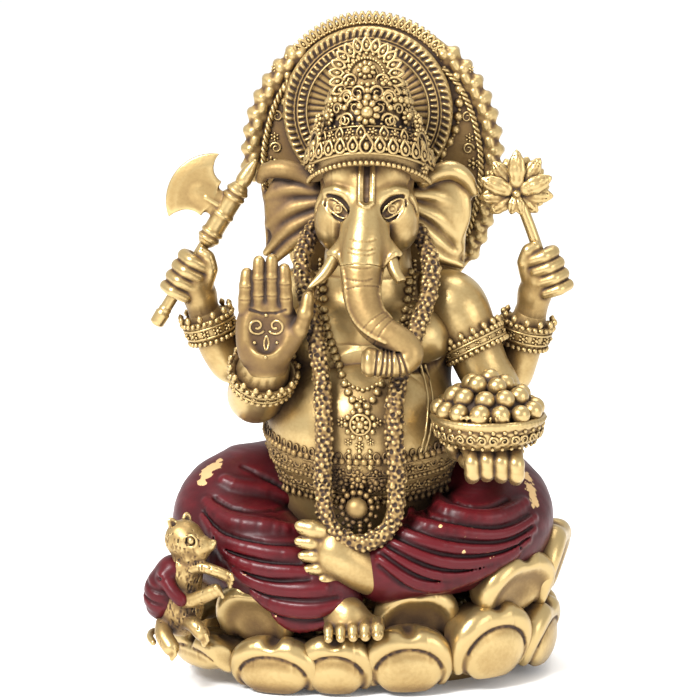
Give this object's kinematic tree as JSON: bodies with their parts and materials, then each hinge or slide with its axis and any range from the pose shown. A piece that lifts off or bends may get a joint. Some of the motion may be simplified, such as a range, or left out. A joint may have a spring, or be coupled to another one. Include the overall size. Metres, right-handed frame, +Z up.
{
  "type": "ganesha idol",
  "caption": "Seated elephant-headed Ganesha idol in antique-gold resin with a deep red dhoti, a round halo, held axe, lotus and sweets, a mouse at the knee, on a lotus base.",
  "frame": {"origin": "centre of the flat underside of the lotus base", "axes": "+Z up, the figure faces -Y, +X is the figure's left"},
  "size_m": [0.1319, 0.0939, 0.2035],
  "materials": {
    "gold_resin": "antique gold paint, dry-brushed, with a brown wash in the hollows",
    "gold_ornament": "antique gold paint with a heavier brown wash between the beads",
    "gold_garland": "antique gold paint, the dark pits of a flower garland",
    "red_cloth": "deep maroon lacquer, gold rubbed through on the high folds"
  },
  "bodies": {
    "root": {"lotus_core": "gold_resin", "lower_petal_01": "gold_resin", "lower_petal_02": "gold_resin", "lower_petal_03": "gold_resin", "lower_petal_04": "gold_resin", "lower_petal_05": "gold_resin", "lower_petal_06": "gold_resin", "lower_petal_07": "gold_resin", "lower_petal_08": "gold_resin", "lower_petal_09": "gold_resin", "lower_petal_10": "gold_resin", "lower_petal_11": "gold_resin", "lower_petal_12": "gold_resin", "upper_petal_01": "gold_resin", "upper_petal_02": "gold_resin", "upper_petal_03": "gold_resin", "upper_petal_04": "gold_resin", "upper_petal_05": "gold_resin", "upper_petal_06": "gold_resin", "upper_petal_07": "gold_resin", "upper_petal_08": "gold_resin", "torso": "gold_resin", "right_leg": "red_cloth", "left_leg": "red_cloth", "right_foot": "gold_resin", "left_foot": "gold_resin", "head": "gold_resin", "trunk": "gold_resin", "right_ear": "gold_resin", "left_ear": "gold_resin", "right_tusk": "gold_resin", "left_tusk": "gold_resin", "crown": "gold_ornament", "halo_disc": "gold_ornament", "back_arch": "gold_ornament", "rear_right_arm": "gold_resin", "rear_left_arm": "gold_resin", "front_right_arm": "gold_resin", "front_left_arm": "gold_resin", "rear_right_hand": "gold_resin", "rear_left_hand": "gold_resin", "front_right_hand": "gold_resin", "front_left_hand": "gold_resin", "axe_shaft": "gold_resin", "axe_head": "gold_resin", "lotus_stem": "gold_resin", "lotus_flower": "gold_resin", "sweets_bowl": "gold_resin", "sweets": "gold_resin", "rear_right_bracelet": "gold_ornament", "rear_left_bracelet": "gold_ornament", "front_right_bracelet": "gold_ornament", "front_left_bracelet": "gold_ornament", "armlets": "gold_ornament", "garland": "gold_garland", "necklace": "gold_ornament", "belt": "gold_ornament", "mouse": "gold_resin", "mouse_cloak": "red_cloth"}
  },
  "joints": []
}
